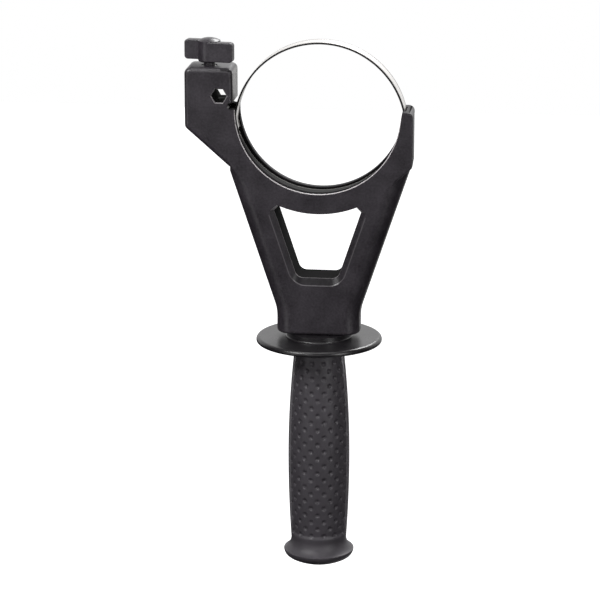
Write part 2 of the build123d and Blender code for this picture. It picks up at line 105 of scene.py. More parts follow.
# %% Shader maths
class Wire:
    """One output of a shader node, which works like a number in a formula."""

    def __init__(self, bench, socket):
        self.bench = bench
        self.socket = socket

    def maths(self, operation, first, second):
        return self.bench.add("ShaderNodeMath", {"operation": operation}, {0: first, 1: second})["Value"]

    def __add__(self, other):
        return self.maths("ADD", self, other)

    def __radd__(self, other):
        return self.maths("ADD", other, self)

    def __sub__(self, other):
        return self.maths("SUBTRACT", self, other)

    def __rsub__(self, other):
        return self.maths("SUBTRACT", other, self)

    def __mul__(self, other):
        return self.maths("MULTIPLY", self, other)

    def __rmul__(self, other):
        return self.maths("MULTIPLY", other, self)

    def __abs__(self):
        return self.maths("ABSOLUTE", self, 0.0)

    def root(self):
        return self.maths("SQRT", self, 0.0)

    def angle_over(self, other):
        """The angle in radians whose sine goes with this value and whose cosine with the other."""
        return self.maths("ARCTAN2", self, other)

    def at_most(self, other):
        return self.maths("MINIMUM", self, other)

    def at_least(self, other):
        return self.maths("MAXIMUM", self, other)

    def held(self):
        """The value kept between 0 and 1."""
        return self.at_least(0.0).at_most(1.0)

    def rising(self, low, high):
        """0 below the first value, 1 above the second, and a smooth rise between them."""
        share = ((self - low) * (1.0 / (high - low))).held()
        return share * share * (3.0 - 2.0 * share)

    def falling(self, low, high):
        """1 below the first value, 0 above the second."""
        return 1.0 - self.rising(low, high)


print("wires: +, -, * and", ", ".join(name for name in vars(Wire) if not name.startswith("_")))

# %% [markdown]
# A Bench stands for one node tree. Its single method adds any node: first the node's settings,
# because they decide which inputs it has, and then the values or wires of its inputs. It hands
# back the node's outputs by name, ready for the next formula.

# %% Node bench
class Bench:
    """A node tree on which nodes are put and wired."""

    def __init__(self, tree):
        self.tree = tree
        tree.nodes.clear()

    def add(self, kind, settings, inputs):
        node = self.tree.nodes.new(kind)
        for name, value in settings.items():
            setattr(node, name, value)
        for name, value in inputs.items():
            socket = node.inputs[name]
            if isinstance(value, Wire):
                self.tree.links.new(value.socket, socket)
            else:
                socket.default_value = value
        return {output.name: Wire(self, output) for output in node.outputs if output.enabled}


print("node bench ready")

# %% [markdown]
# Black plastic shows mostly what it reflects, so the room matters more than the colour. The room
# is bright behind the handle, which the top faces and the steel mirror at a shallow angle, and
# dim towards the viewer, so that the faces turned to the camera stay near black. The direction of
# a ray, which runs to +X at the right, to +Y at the back and to +Z above, decides how bright that
# part of the room is. Low in front it is darkest, so that the cut edge of the steel band shows as
# a black line. Low at the right the bright wall comes further down, for the block's right wall.
# To the eye the room itself is plain white, which the Light Path node's camera ray looks after.
# A picture of a studio could be wrapped round instead, but it would be one more file to carry,
# and a formula can be bent to the object until each face mirrors what it should.

# %% The room
room_floor = 0.006
room_dim = 0.07
room_bright = 1.04
room_cap = 0.16

world = bpy.data.worlds.new("studio")
bpy.context.scene.world = world
world.use_nodes = True
room = Bench(world.node_tree)
towards = room.add("ShaderNodeTexCoord", {}, {})["Generated"]
way = room.add("ShaderNodeSeparateXYZ", {}, {"Vector": towards})
behind = way["Y"].rising(0.15, 0.6)
above_table = way["Z"].rising(-0.12, 0.02) * way["Z"].falling(0.55, 0.85)
low_right = way["X"].rising(0.05, 0.12) * 0.55 + way["X"].rising(0.14, 0.2) * 0.45
low_right = low_right * way["X"].falling(0.35, 0.5)
backdrop = behind * above_table.at_least(low_right)
front = room_floor + way["Z"].rising(-0.15, 0.35) * (room_dim - room_floor)
glow = front + backdrop * (room_bright - room_dim) + way["Z"].rising(0.55, 0.95) * room_cap
seen = room.add("ShaderNodeLightPath", {}, {})["Is Camera Ray"]
strength = glow * (1.0 - seen) + seen
shine = room.add("ShaderNodeBackground", {}, {"Color": (1.0, 1.0, 1.0, 1.0), "Strength": strength})
room.add("ShaderNodeOutputWorld", {}, {"Surface": shine["Background"]})
bpy.context.scene.view_settings.view_transform = "Standard"
print("room nodes:", len(world.node_tree.nodes))

# %% [markdown]
# Six soft boxes model the form. One hangs overhead and draws the light lines along the upper
# edges. One at the upper left gives the front faces their slow fall of light from the block down
# to the neck, and a weak low one lifts the grip's left side. One at the right keeps the right arm
# from going dead. A wide one far in front fills the middle of the ring and the grip. The last
# stands high behind, so that the handle's back is lit too when it is turned round. Point lamps
# would give hard spots on the gloss, so every light is an area.

# %% Soft boxes
middle = (0.0, 0.0, -0.1)
beside_ring = (-0.05, 0.0, 0.02)
box_rows = {
    "top_box": ((0.0, -0.14, 0.9), middle, 0.7, 0.5, 3.5),
    "left_box": ((-0.55, -0.65, 0.6), beside_ring, 0.4, 0.4, 9.0),
    "right_box": ((0.9, -0.9, 0.15), middle, 0.4, 0.9, 6.5),
    "left_wall": ((-0.75, -0.75, -0.2), middle, 0.3, 0.6, 1.2),
    "front_box": ((-0.1, -2.6, 0.3), middle, 1.6, 0.8, 7.0),
    "back_box": ((0.4, 1.3, 1.2), middle, 0.8, 0.5, 22.0),
}
for name, (place, aim, width, height, watts) in box_rows.items():
    box = bpy.data.lights.new(name, "AREA")
    box.shape = "RECTANGLE"
    box.size = width
    box.size_y = height
    box.energy = watts
    stand = bpy.data.objects.new(name, box)
    stand.location = place
    stand.rotation_euler = (Vector(aim) - Vector(place)).to_track_quat("-Z", "Y").to_euler()
    bpy.context.scene.collection.objects.link(stand)
print("soft boxes:", len(bpy.data.lights))

# %% [markdown]
# Every piece made here starts in the same way: a material with an empty bench, one principled
# shader as its surface, and an object made of a list of points and a list of faces. These three
# helpers are used from the floor on.

# %% Helpers for a material and a piece
def new_finish(name):
    """An empty material and the bench for its nodes."""
    material = bpy.data.materials.new(name)
    material.use_nodes = True
    return material, Bench(material.node_tree)


def cover(bench, inputs):
    """The principled shader with these inputs, as the material's surface."""
    surface = bench.add("ShaderNodeBsdfPrincipled", {}, inputs)["BSDF"]
    bench.add("ShaderNodeOutputMaterial", {}, {"Surface": surface})


def mesh_piece(name, points, faces, finish):
    """A smooth object made of points and faces, in one finish."""
    mesh = bpy.data.meshes.new(name)
    mesh.from_pydata(points, [], faces)
    mesh.shade_smooth()
    mesh.materials.append(finish)
    piece = bpy.data.objects.new(name, mesh)
    bpy.context.scene.collection.objects.link(piece)
    print(name + ":", len(points), "points,", len(faces), "faces")
    return piece


print("helpers for materials and pieces ready")

# %% [markdown]
# The floor is a white sheet far below, like a paper sweep. The photograph shows no shadow and no
# horizon, so the sheet glows as white as the room, and it is hidden from the rays that light the
# handle. The handle then seems to hang in clean white.

# %% Floor
floor_drop = 0.95
floor_half = 6.0
floor_z = cad_box[0][2] - floor_drop
floor_paper, bench = new_finish("floor_paper")
cover(bench, {
    "Base Color": (0.9, 0.9, 0.9, 1.0),
    "Roughness": 1.0,
    "Emission Color": (1.0, 1.0, 1.0, 1.0),
    "Emission Strength": 1.0,
})
floor_corners = [(x * floor_half, y * floor_half, floor_z) for x, y in [(-1, -1), (1, -1), (1, 1), (-1, 1)]]
floor = mesh_piece("floor", floor_corners, [(0, 1, 2, 3)], floor_paper)
floor.visible_glossy = False
floor.visible_diffuse = False
print("floor at z =", round(floor_z, 3))

# %% [markdown]
# A finish asks where a point lies on its object, and some also ask which way the surface faces
# there. Both come in the object's own space, so that the marks stay on the part as it moves.
# Random lumps of a chosen size break up the evenness. A colour between two tones comes from a Mix
# node, because a Math node would turn it grey. Fine relief is a bump, too small for the mesh.

# %% Helpers for finishes
def split(bench, vector):
    """The X, Y and Z of a vector."""
    return bench.add("ShaderNodeSeparateXYZ", {}, {"Vector": vector})


def lumps(bench, place, size, detail=2.0, roughness=0.5):
    """Smooth random values from 0 to 1, with lumps of this size in metres."""
    inputs = {"Vector": place, "Scale": 1.0 / size, "Detail": detail, "Roughness": roughness}
    return bench.add("ShaderNodeTexNoise", {"normalize": True}, inputs)["Fac"]


def tone_between(bench, share, dark, light):
    """A colour between two others, each given as three numbers or as a wire."""
    first, second = (tone if isinstance(tone, Wire) else (*tone, 1.0) for tone in (dark, light))
    return bench.add("ShaderNodeMix", {"data_type": "RGBA"}, {0: share, 6: first, 7: second})["Result"]


def skin(bench, depth, height):
    """The surface's small relief, this deep in metres."""
    inputs = {"Strength": 1.0, "Distance": depth, "Height": height}
    return bench.add("ShaderNodeBump", {}, inputs)["Normal"]


print("helpers for finishes ready")

# %% [markdown]
# The yoke, knob and guard are moulded in a charcoal plastic filled with glass fibre. The mould is
# spark-eroded, so the skin has a fine even grain, and soft blotches show where the plastic
# flowed. The grain is a bump, and the blotches and pits change tone and gloss a little. Noise
# that is worked out in space has no seams, which a picture laid on these shapes would have. One
# formula makes all three, with its own tones and gloss for each. The guard's tones are darker,
# because its top face mirrors the bright room at a shallow angle and looks paler than it is.

# %% Moulded plastic
blotch_size = 14.0 * mm


def plastic_skin(bench, place, dark, light, gloss, grain_size, grain_depth):
    """Tone, roughness and relief of charcoal plastic with a spark-eroded skin."""
    blotch = lumps(bench, place, blotch_size, 3.0, 0.6)
    speck = lumps(bench, place, grain_size, 2.0, 0.6)
    pit = lumps(bench, place, 3.0 * grain_size, 2.0, 0.6)
    share = (0.5 + (blotch - 0.5) * 1.1 + (pit - 0.5) * 1.4).held()
    rough = gloss + (blotch - 0.5) * 0.16 + (pit - 0.5) * 0.14
    return tone_between(bench, share, dark, light), rough, skin(bench, grain_depth, speck * 0.5 + pit * 0.5)


def moulded_plastic(name, dark, light, gloss, grain_size, grain_depth):
    material, bench = new_finish(name)
    place = bench.add("ShaderNodeTexCoord", {}, {})["Object"]
    tone, rough, relief = plastic_skin(bench, place, dark, light, gloss, grain_size, grain_depth)
    cover(bench, {"Base Color": tone, "Roughness": rough, "Specular IOR Level": 0.5, "Normal": relief})
    return material


knob_plastic = moulded_plastic(
    "knob_plastic", (0.013, 0.0110, 0.0138), (0.044, 0.0383, 0.0461), 0.36, 0.35 * mm, 0.018 * mm
)
guard_plastic = moulded_plastic(
    "guard_plastic", (0.004, 0.0035, 0.0041), (0.014, 0.0124, 0.0146), 0.32, 0.45 * mm, 0.012 * mm
)
print("plastics:", knob_plastic.name, guard_plastic.name)

# %% [markdown]
# The yoke needs more than one skin, and a mask, a wire that is 1 where a mark lies and 0
# elsewhere, says where each goes. The faces could be given slots of their own, but then a mark
# would have to end at an edge of the mesh. Masks are worked out from the place and the normal. A
# wall that runs along the depth has no Y in its normal, and a chamfer has some. The distance from
# a line along the depth finds what is round, and the gaps from a slanted side and from a foot
# find the rounded outline of the window's bevel.

# %% Where things lie on the yoke
body_plastic, bench = new_finish("body_plastic")
here = bench.add("ShaderNodeTexCoord", {}, {})
place = here["Object"]
spot, facing = split(bench, place), split(bench, here["Normal"])
sloping = abs(facing["Y"])
outward = abs(spot["Y"])


def reach_from(centre):
    """Distance from a line along the depth through this centre, in the front view."""
    away = bench.add("ShaderNodeVectorMath", {"operation": "SUBTRACT"}, {0: place, 1: centre})["Vector"]
    flat = bench.add("ShaderNodeVectorMath", {"operation": "MULTIPLY"}, {0: away, 1: (1.0, 0.0, 1.0)})
    return bench.add("ShaderNodeVectorMath", {"operation": "LENGTH"}, {0: flat["Vector"]})["Value"]


def corner_reach(side_gap, end_gap, corner):
    """Distance from the nearest corner's centre: it equals the corner's radius on the outline."""
    side = (corner - side_gap).at_least(0.0)
    end = (corner - end_gap).at_least(0.0)
    return (side * side + end * end).root()


from_seat = reach_from((0.0, 0.0, 0.0))
from_rod = reach_from((-56.6 * mm, 0.0, 8.5 * mm))
print("yoke nodes so far:", len(bench.tree.nodes))

# %% [markdown]
# The window narrows downward with a steady lean. Its inner walls are painted a dull black, a
# painted shade for the deep recess that the light hardly reaches. Round it runs a bevel, whose
# outline on the face is rounded at its two lower corners.

# %% The window and its bevel
window_top = -55.0 * mm
window_foot = -99.5 * mm
window_half_low = 13.5 * mm
window_lean = 0.3353
bevel_foot = -102.0 * mm
bevel_half_low = 14.05 * mm
bevel_corner = 7.1 * mm

window_half = window_half_low + (spot["Z"] - window_foot) * window_lean
in_window = (window_half - abs(spot["X"])).rising(-0.2 * mm, 0.4 * mm)
in_window = in_window * spot["Z"].rising(window_foot, window_foot + 0.3 * mm)
in_window = in_window * spot["Z"].falling(window_top, window_top + 2.0 * mm)

bevel_half = bevel_half_low + (spot["Z"] - bevel_foot) * window_lean
side_gap = (bevel_half - abs(spot["X"])) * (1.0 / hypot(1.0, window_lean))
inside_bevel = bevel_corner - corner_reach(side_gap, spot["Z"] - bevel_foot, bevel_corner)
print("window:", round((window_top - window_foot) / mm, 1), "mm high, lean", window_lean)

# %% [markdown]
# The seat is a half ring with a groove for the band in its middle, and the depth rod's hexagonal
# hole goes through the block. These walls get the same dull black painted shade. The seat's far
# flange is the one inner wall that catches some of the bright room, so it keeps most of the outer
# skin and little of the painted shade.

# %% The seat, the groove and the rod's hole
ring_reach = 52.5 * mm
seat_reach = 48.05 * mm
groove_reach = 47.6 * mm
groove_half = 7.0 * mm
rod_reach = 4.6 * mm

in_ring = from_seat.falling(ring_reach, ring_reach + 0.5 * mm) * spot["Z"].falling(1.0 * mm, 1.4 * mm)
on_seat = in_ring * from_seat.falling(seat_reach, seat_reach + 0.1 * mm)
far_flange = on_seat * spot["Y"].rising(6.3 * mm, 12.0 * mm)
in_groove = in_ring * from_seat.rising(groove_reach, groove_reach + 0.2 * mm)
in_groove = in_groove * outward.falling(groove_half, groove_half + 0.4 * mm)
in_hole = from_rod.falling(rod_reach, rod_reach + 0.3 * mm)
print("seat radius, mm:", round(seat_reach / mm, 2), "groove half width, mm:", groove_half / mm)

# %% [markdown]
# Some edges get a pale painted highlight, for the thin light lines that their roundings catch.
# The one on the chamfer along the seat is the palest. Those on the window's sill, the rod hole's
# chamfer and the line round the bevel are fainter. The wall of the block beside the band gets
# painted light over its whole face: it is a little paler, and glossier too.

# %% Painted highlights on the edges, painted light on the wall
sill_share = 0.3
rod_edge_share = 0.25
bevel_line_share = 0.12
face_half = 11.4 * mm
bevel_line_top = -61.0 * mm
painted_wall_from = -50.6 * mm

# Painted highlights: pale tone on the seat's chamfer, the window's sill, the rod hole's chamfer and the
# bevel's outline.
lip_highlight = on_seat * sloping.rising(0.3, 0.5) * sloping.falling(0.85, 0.95)
sill_highlight = in_window * sloping.rising(0.1, 0.25) * sloping.falling(0.6, 0.72)
rod_edge_highlight = from_rod.falling(5.2 * mm, 5.3 * mm) * sloping.rising(0.3, 0.5) * sloping.falling(0.9, 0.95)
bevel_outline_highlight = abs(inside_bevel).falling(0.15 * mm, 0.4 * mm) * outward.rising(face_half, face_half + 0.2 * mm)
bevel_outline_highlight = bevel_outline_highlight * spot["Z"].falling(bevel_line_top, bevel_line_top + 1.0 * mm)
painted_highlight = lip_highlight + sill_highlight * sill_share + rod_edge_highlight * rod_edge_share + bevel_outline_highlight * bevel_line_share

# Painted light: the block's wall beside the band is made paler over its whole face, and glossier.
beside_band = facing["X"].rising(0.8, 0.98) * spot["X"].rising(painted_wall_from, painted_wall_from + 1.0 * mm)
painted_light_wall = beside_band * spot["Z"].rising(2.0 * mm, 6.0 * mm) * spot["X"].falling(-40.0 * mm, -39.0 * mm)
print("worn edges: lip, sill, rod edge and bevel line")

# %% [markdown]
# The masks of the painted shade add up to one share. Walls along the depth count only inside the
# window, the seat and the hole. The groove counts whole. The bevel gets part of the painted shade,
# and more on the slopes that face upward, which would otherwise shine.

# %% How much painted shade
along_depth = sloping.falling(0.06, 0.2)
# Painted shade: the share of near-black, dull skin that each point gets.
painted_shade = along_depth * (in_window.at_least(in_ring).at_least(in_hole) - far_flange * 0.85)
painted_shade = painted_shade.at_least(in_groove)
on_bevel = sloping.rising(0.3, 0.5) * sloping.falling(0.9, 0.96)
on_bevel = on_bevel * inside_bevel.rising(0.2 * mm, 0.5 * mm) * (1.0 - in_ring)
painted_shade = painted_shade.at_least(on_bevel * (0.25 + facing["Z"].rising(0.2, 0.5) * 0.45) * (1.0 - sill_highlight))
print("yoke nodes so far:", len(bench.tree.nodes))

# %% [markdown]
# The yoke's outer skin is the same charcoal plastic as the knob's, with a deeper grain, and with
# the painted light and painted highlights laid over it. The second skin is a painted shade, almost
# black, which hardly mirrors. How strongly a shader mirrors stays one plain number, so there are
# two shaders, and the share of painted shade mixes them.

# %% The yoke's plastic
tone, rough, relief = plastic_skin(
    bench, place, (0.010, 0.0084, 0.0106), (0.042, 0.0365, 0.0440), 0.37, 0.4 * mm, 0.035 * mm
)
# Painted light on the block's wall beside the band, then the pale painted highlights on the edges.
tone = tone_between(bench, painted_light_wall * 0.8, tone, (0.11, 0.105, 0.10))
tone = tone_between(bench, painted_highlight, tone, (0.46, 0.435, 0.445))
rough = rough - painted_light_wall * 0.15 - lip_highlight * 0.1
outer_skin = bench.add("ShaderNodeBsdfPrincipled", {}, {
    "Base Color": tone,
    "Roughness": rough,
    "Specular IOR Level": 0.5,
    "Normal": relief,
})["BSDF"]
# The painted shade for the recesses: a near-black, dull skin, a little mottled.
shade_mottle = lumps(bench, place, 6.0 * mm)
painted_shade_skin = bench.add("ShaderNodeBsdfPrincipled", {}, {
    "Base Color": tone_between(bench, shade_mottle, (0.003, 0.003, 0.003), (0.007, 0.0066, 0.007)),
    "Roughness": 0.9,
    "Specular IOR Level": 0.05,
    "Normal": relief,
})["BSDF"]
both = bench.add("ShaderNodeMixShader", {}, {0: painted_shade, 1: outer_skin, 2: painted_shade_skin})["Shader"]
bench.add("ShaderNodeOutputMaterial", {}, {"Surface": both})
print("yoke nodes:", len(bench.tree.nodes))

# %% [markdown]
# The band is cold-rolled strip. Rolling leaves fine lines along its length, so the lines vary
# quickly across the width, which is Y, and hardly at all along it. A stretched highlight alone
# would look like such lines from afar, but noise that is squeezed in one direction shows them
# from near too. Down in the yoke's groove the strip gets a painted shade, black and dull, with a
# wandering upper edge.

# %% Rolled lines and painted shade
shade_wander = 12.0 * mm
shade_fade = 11.0 * mm


def rolled_lines(bench, place, width, length):
    """Random lines of this width across the strip and this length along it."""
    squeezed = bench.add("ShaderNodeMapping", {"vector_type": "TEXTURE"}, {
        "Vector": place, "Scale": (length, width, length)})["Vector"]
    return lumps(bench, squeezed, 1.0, 3.0, 0.6)


def out_of_painted_shade(height, cloud, shade_below):
    """0 in the painted shade below this height and 1 above it, with an edge that wanders."""
    return (height + (cloud - 0.5) * shade_wander).rising(shade_below, shade_below + shade_fade)


# How far up the painted shade fades out.
print("the grease fades out over, mm:", round(shade_fade / mm, 1))

# %% [markdown]
# The strip's cut edges are painted black, a painted shade for the dark room that they mirror, and
# the margins beside them, where the rolls don't reach, are dull. Both are found as on the yoke, the
# edges from the normal and the margins from the place. The hidden screw, nut and stud are
# zinc-plated: they have no lines in one direction and no cut edges, and they get the black painted
# shade below the knob's neck. So one formula serves both steels, and its last value says whether
# it is for a strip.

# %% Steels
margin_from = 4.4 * mm
# Near-black tones of the painted shade, on the cut edges and on the steel below a height.
painted_edge_black = (0.004, 0.004, 0.004)
painted_shade_black = (0.006, 0.006, 0.006)
margin_in_shade = (0.10, 0.096, 0.092)
margin_unshaded = (0.24, 0.225, 0.22)


def bright_steel(name, tone, gloss, line_width, line_length, shade_below, is_strip):
    """Steel with rolled lines, with a painted shade below a height, and with cut edges painted black if
    is_strip is 1.
    """
    material, bench = new_finish(name)
    here = bench.add("ShaderNodeTexCoord", {}, {})
    place = here["Object"]
    spot, facing = split(bench, place), split(bench, here["Normal"])
    lines = rolled_lines(bench, place, line_width, line_length)
    cloud = lumps(bench, place, 20.0 * mm, 2.0)
    # Below the given height the steel gets a painted shade.
    unshaded = out_of_painted_shade(spot["Z"], cloud, shade_below)
    # The cut edges are painted black, a painted shade for the dark room they mirror.
    cut_edge_shade = abs(facing["Y"]).rising(0.45, 0.7) * is_strip
    margin = abs(spot["Y"]).rising(margin_from, margin_from + 0.3 * mm) * is_strip
    bright = tone_between(bench, lines * 0.6 + cloud * 0.4, tuple(0.9 * value for value in tone), tone)
    face_tone = tone_between(bench, unshaded, painted_shade_black, bright)
    margin_tone = tone_between(bench, unshaded, margin_in_shade, margin_unshaded)
    whole = tone_between(bench, margin, face_tone, margin_tone)
    in_painted_shade = (1.0 - unshaded) * (1.0 - cut_edge_shade)
    cover(bench, {
        "Base Color": tone_between(bench, cut_edge_shade, whole, painted_edge_black),
        "Metallic": unshaded * (1.0 - cut_edge_shade) * (1.0 - margin * 0.8),
        "Roughness": gloss + (lines - 0.5) * 0.08 + in_painted_shade * (0.6 - margin * 0.3) + margin * 0.15 + cut_edge_shade * 0.5,
        "Normal": skin(bench, 0.0005 * mm, lines),
    })
    return material


band_steel = bright_steel("band_steel", (0.90, 0.88, 0.855), 0.34, 0.25 * mm, 60.0 * mm, -22.0 * mm, 1.0)
hardware_steel = bright_steel("hardware_steel", (0.45, 0.45, 0.44), 0.38, 1.0 * mm, 1.0 * mm, 9.0 * mm, 0.0)
print("steels:", band_steel.name, hardware_steel.name)

# %% [markdown]
# The sleeve has two dimpled panels, one in front and one behind, a little sunk between plain
# strips at the sides. Where the panels lie is needed twice, for the rubber's tone and for the
# sleeve's mesh, so these numbers come first. Angles are in degrees from the front.

# %% Where the panels lie
panel_turn = 3.65
panel_half = 72.7
panel_top = -143.7 * mm
panel_foot = -257.0 * mm
panel_corner_top = 4.0 * mm
panel_corner_foot = 5.5 * mm
panel_reach = 16.0 * mm
print("panel height, mm:", round((panel_top - panel_foot) / mm, 1))

# %% [markdown]
# The sleeve is soft black rubber. It scatters more light than the plastic, so it is rougher, with
# a finer and softer grain and a faint cloudy bloom. The panels' raised border gets a pale painted
# highlight, strongest near its top. The border is found as the bevel's was, from the gaps to its
# side and to its top, with the angle round the grip folded so that it serves both panels.

# %% Rubber
border_foot = -258.0 * mm


def panel_border_highlight(spot):
    """1 along the painted highlight on the border of a panel, and less towards its foot."""
    bend = abs(spot["X"].angle_over(0.0 - spot["Y"]) - radians(panel_turn))
    bend = pi / 2 - abs(bend - pi / 2)
    side_gap = (radians(panel_half) - bend) * panel_reach
    top_gap = panel_top - spot["Z"]
    inside = panel_corner_top - corner_reach(side_gap, top_gap, panel_corner_top)
    border_highlight = abs(inside).falling(0.25 * mm, 0.55 * mm) * spot["Z"].rising(border_foot, border_foot + 6.0 * mm)
    return border_highlight * (0.3 + spot["Z"].rising(-165.0 * mm, -146.0 * mm) * 0.7)


grip_rubber, bench = new_finish("grip_rubber")
place = bench.add("ShaderNodeTexCoord", {}, {})["Object"]
bloom = lumps(bench, place, 11.0 * mm, 3.0)
grain = lumps(bench, place, 0.4 * mm, 2.0, 0.6)
tone = tone_between(bench, bloom * 0.8 + grain * 0.2, (0.032, 0.0286, 0.0336), (0.062, 0.0556, 0.065))
# The pale tone along the panels' border is a painted highlight.
cover(bench, {
    "Base Color": tone_between(bench, panel_border_highlight(split(bench, place)), tone, (0.26, 0.25, 0.265)),
    "Roughness": 0.52 + (bloom - 0.5) * 0.12 + (grain - 0.5) * 0.08,
    "Specular IOR Level": 0.5,
    "Normal": skin(bench, 0.006 * mm, grain),
})
print("rubber nodes:", len(bench.tree.nodes))

# %% [markdown]
# The packed model says which kind of material each rigid part has. The slots' names are the
# finishes' names, so one short loop dresses all the parts. Their shapes stay as they are.

# %% Finishes for the rigid parts
finishes = {
    "body_plastic": body_plastic,
    "knob_plastic": knob_plastic,
    "guard_plastic": guard_plastic,
    "band_steel": band_steel,
    "hardware_steel": hardware_steel,
    "grip_rubber": grip_rubber,
}
slots = {row["node"]: row["material_slot"] for row in frame["record"]["subparts"]}
for name, part in frame["nodes"].items():
    part.data.materials.clear()
    part.data.materials.append(finishes[slots[name]])
print("finished:", len(frame["nodes"]), "rigid parts")

# %% [markdown]
# The sleeve's outline is a soft barrel that narrows to a waist and flares out at the foot. It is
# a chain of arcs, the same as in the rigid model: two long ones that meet at the belly, a hollow
# one for the flare, a small one round the rim and a shallow one for the dome. A spline could be
# drawn by eye, but arcs with a common tangent have no bumps and keep to the model's sizes.

# %% The barrel
sleeve_low, sleeve_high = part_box("grip_sleeve")
sleeve_top = sleeve_high.z
sleeve_foot = sleeve_low.z
neck_radius = 13.9 * mm
belly_radius = 18.1 * mm
belly_z = sleeve_top - 70.8 * mm
waist_radius = 16.4 * mm
waist_z = sleeve_foot + 16.6 * mm


def long_arc(end_radius, end_z):
    """The radius of the arc that runs straight down at the belly and reaches this end."""
    inset = belly_radius - end_radius
    return ((end_z - belly_z) ** 2 + inset ** 2) / (2 * inset)


upper_arc = long_arc(neck_radius, sleeve_top)
lower_arc = long_arc(waist_radius, waist_z)


def barrel_radius(z):
    reach = upper_arc if z > belly_z else lower_arc
    return belly_radius - reach + sqrt(reach ** 2 - (z - belly_z) ** 2)


print("long arcs, mm:", round(upper_arc / mm, 1), round(lower_arc / mm, 1))

# %% [markdown]
# Below the waist the outline turns outward, round the rim and in under the dome. The flare leaves
# the waist in the barrel's own direction, so that no crease shows. Its arc is fixed by that
# direction and by its end point, which is all that the helper needs. It ends a little inside the
# rim and a little above it, which leaves room for a small rounding.

# %% The flare
flare_radius = 20.8 * mm
flare_z = sleeve_foot + 9.1 * mm
rim_round = 0.3 * mm
rim_inner = flare_radius - rim_round
rim_lift = 0.12 * mm
flare_steps = 18


def tangent_arc(start, along, end, steps):
    """Points of an arc that leaves the start in a direction and meets the end."""
    chord = (end[0] - start[0], end[1] - start[1])
    turn = atan2(along[0] * chord[1] - along[1] * chord[0], along[0] * chord[0] + along[1] * chord[1])
    radius = hypot(*chord) / (2 * sin(turn))
    centre = (start[0] - along[1] * radius, start[1] + along[0] * radius)
    first = atan2(start[1] - centre[1], start[0] - centre[0])
    bends = [first + 2 * turn * step / steps for step in range(1, steps + 1)]
    return [(centre[0] + abs(radius) * cos(bend), centre[1] + abs(radius) * sin(bend)) for bend in bends]


lean = (belly_z - waist_z) / lower_arc
down = (-lean, -sqrt(1 - lean ** 2))
foot_rows = tangent_arc((waist_radius, waist_z), down, (rim_inner, flare_z + rim_lift), flare_steps)
print("the barrel's lean at the waist, degrees:", round(degrees(atan2(lean, -down[1])), 1))

# %% [markdown]
# A small rounding stands between the flare and the rim's arc, and a wide arc closes the foot. The
# dome's arc has to meet the rim's as a tangent, so its radius follows from where the rim's centre
# lies and from the sleeve's lowest point.

# %% The rim and the dome
rim_arc = 5.0 * mm
round_lift = 0.1 * mm
round_steps, rim_steps, dome_steps = 3, 9, 15


def rim_and_dome():
    """Radius and height of the rows round the rim and in under the dome."""
    reach = flare_radius - rim_arc
    rise = flare_z - sleeve_foot - rim_arc
    dome_drop = (reach ** 2 - rise ** 2) / (2 * rise)
    tilt = atan2(reach, dome_drop)
    rim_bends = [(pi / 2 - tilt) * step / rim_steps for step in range(1, rim_steps + 1)]
    rim = [(reach + rim_arc * cos(bend), flare_z - rim_arc * sin(bend)) for bend in rim_bends]
    dome = hypot(reach, dome_drop) + rim_arc
    dome_bends = [tilt * (1 - step / dome_steps) for step in range(1, dome_steps)]
    return rim + [(dome * sin(bend), sleeve_foot + dome - dome * cos(bend)) for bend in dome_bends]


for step in range(1, round_steps + 1):
    bend = radians(90 - 90 * step / round_steps)
    foot_rows.append((rim_inner + rim_round * cos(bend), flare_z - rim_round * (1 - sin(bend)) + round_lift))
foot_rows += rim_and_dome()
print("rows from the waist to the dome:", len(foot_rows))

# %% [markdown]
# A panel's sinking and its dimples are both a depth taken off the outline's radius, so a formula
# for an angle and a height is enough. It could be a displacement texture, but a formula on the
# mesh keeps every edge crisp and in its place. The panel is sharp at its top and sides and fades
# out at its foot.

# %% The sunk panels
panel_sink = 0.8 * mm
panel_edge = 0.36 * mm
panel_fade = 2.6 * mm


def ease(value):
    """A smooth step from 0 to 1."""
    value = min(max(value, 0.0), 1.0)
    return value * value * (3 - 2 * value)


def turn_from_panel(angle):
    """Degrees from the middle of the nearer panel, for an angle from the front."""
    return (angle - panel_turn + 90.0) % 180.0 - 90.0


def panel_sunk(angle, z, radius):
    """How deep the panel lies here."""
    across = radius * radians(panel_half - abs(turn_from_panel(angle)))
    high = z > belly_z
    along = panel_top - z if high else z - panel_foot
    corner = panel_corner_top if high else panel_corner_foot
    inside = min(across, along)
    if across < corner and along < corner:
        inside = corner - hypot(corner - across, corner - along)
    edge = panel_edge if high else panel_edge + (panel_fade - panel_edge) * ease(1 - along / corner / 2)
    return panel_sink * ease(inside / edge)


print("panel sunk at the belly's front, mm:", round(panel_sunk(0.0, belly_z, belly_radius) / mm, 2))

# %% [markdown]
# Each dimple is a shallow bowl with a firm rim, and the bowls stand in staggered rows, so a place
# in the grid of columns and rows holds a bowl only where column and row add up to an odd number.
# For a point it is enough to look at the nearest places of that grid. Cutting each bowl out of a
# finished mesh would leave long thin faces round it, so the formula sinks the mesh instead.

# %% The dimples
dimple_turn = 13.333
dimple_rise = 4.4 * mm
dimple_first = -148.8 * mm
dimple_rows = 25
dimple_columns = 5
dimple_radius = 1.5 * mm
dimple_depth = 0.78 * mm
rim_firmness = 5


